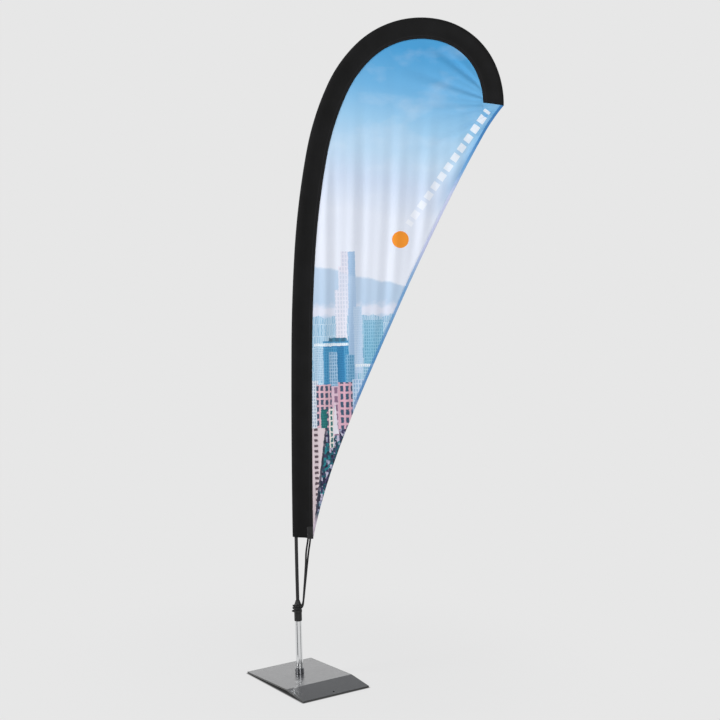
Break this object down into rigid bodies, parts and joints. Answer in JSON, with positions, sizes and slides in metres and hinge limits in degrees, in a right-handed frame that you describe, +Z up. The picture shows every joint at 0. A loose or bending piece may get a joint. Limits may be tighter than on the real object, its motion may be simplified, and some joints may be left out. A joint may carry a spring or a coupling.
{
  "type": "teardrop flag",
  "caption": "Teardrop flag on a folded steel base plate: a ball-bearing rotator, a chrome tube and a bent fibreglass mast in a cloth pocket, kept taut by an elastic cord.",
  "frame": {"origin": "on the floor, under the middle of the whole object's bounding box", "axes": "+Z up; X along the base plate's fold, with the flag reaching towards +X; +Y from the plate's fold towards the edge nearer the mast"},
  "size_m": [0.7358, 0.4008, 2.1225],
  "materials": {
    "plate_paint": "satin",
    "chrome": "polished",
    "turned_steel": "satin",
    "dark_screw": "satin",
    "black_plastic": "satin",
    "glass_fibre": "satin",
    "rod_joint_metal": "satin",
    "rubber": "matte",
    "sleeve_cloth": "matte",
    "flag_cloth": "matte",
    "hem_cloth": "matte",
    "webbing": "matte",
    "eyelet_metal": "satin",
    "elastic_cord": "matte",
    "bearing_steel": "polished"
  },
  "bodies": {
    "base": {"base_plate": "plate_paint", "foot_pad_1": "rubber", "foot_pad_2": "rubber", "foot_pad_3": "rubber", "foot_pad_4": "rubber", "rotator_collar": "chrome", "core_pin": "turned_steel", "base_screw": "dark_screw", "spacer_tube": "turned_steel", "nut_washer": "turned_steel", "lock_nut": "turned_steel", "lower_bearing_inner": "bearing_steel", "upper_bearing_inner": "bearing_steel"},
    "rotor": {"spindle_barrel": "turned_steel", "spindle_cap": "black_plastic", "lower_bearing_outer": "bearing_steel", "upper_bearing_outer": "bearing_steel"},
    "lower_cage": {"lower_bearing_cage": "bearing_steel"},
    "upper_cage": {"upper_bearing_cage": "bearing_steel"},
    "mast": {"mast_tube": "chrome", "mast_ferrule": "black_plastic", "hook_ring": "black_plastic", "mast_rod_lower": "glass_fibre", "mast_rod_middle": "glass_fibre", "mast_rod_tip": "glass_fibre", "rod_joint_lower": "rod_joint_metal", "rod_joint_upper": "rod_joint_metal", "tip_cap": "rubber", "pole_sleeve": "sleeve_cloth", "flag_panel": "flag_cloth", "trailing_hem": "hem_cloth", "corner_tab": "webbing", "eyelet": "eyelet_metal", "cord_knot": "elastic_cord", "tension_cord": "elastic_cord"}
  },
  "joints": [
    {"name": "flag_spin", "type": "hinge", "parent": "base", "child": "rotor", "pos_m": [-0.24295, 0.07603, 0.01115], "axis": [0, 0.0429, 0.9991], "continuous": true},
    {"name": "lower_cage_spin", "type": "hinge", "parent": "base", "child": "lower_cage", "pos_m": [-0.24295, 0.07701, 0.03392], "axis": [0, 0.0429, 0.9991], "continuous": true},
    {"name": "upper_cage_spin", "type": "hinge", "parent": "base", "child": "upper_cage", "pos_m": [-0.24295, 0.08045, 0.11385], "axis": [0, 0.0429, 0.9991], "continuous": true},
    {"name": "mast_lift", "type": "slide", "parent": "rotor", "child": "mast", "axis": [0, 0.0429, 0.9991], "range_m": [0, 0.1]}
  ],
  "couplings": [
    {"joint": "lower_cage_spin", "follows": "flag_spin", "ratio": 0.6},
    {"joint": "upper_cage_spin", "follows": "flag_spin", "ratio": 0.6}
  ]
}
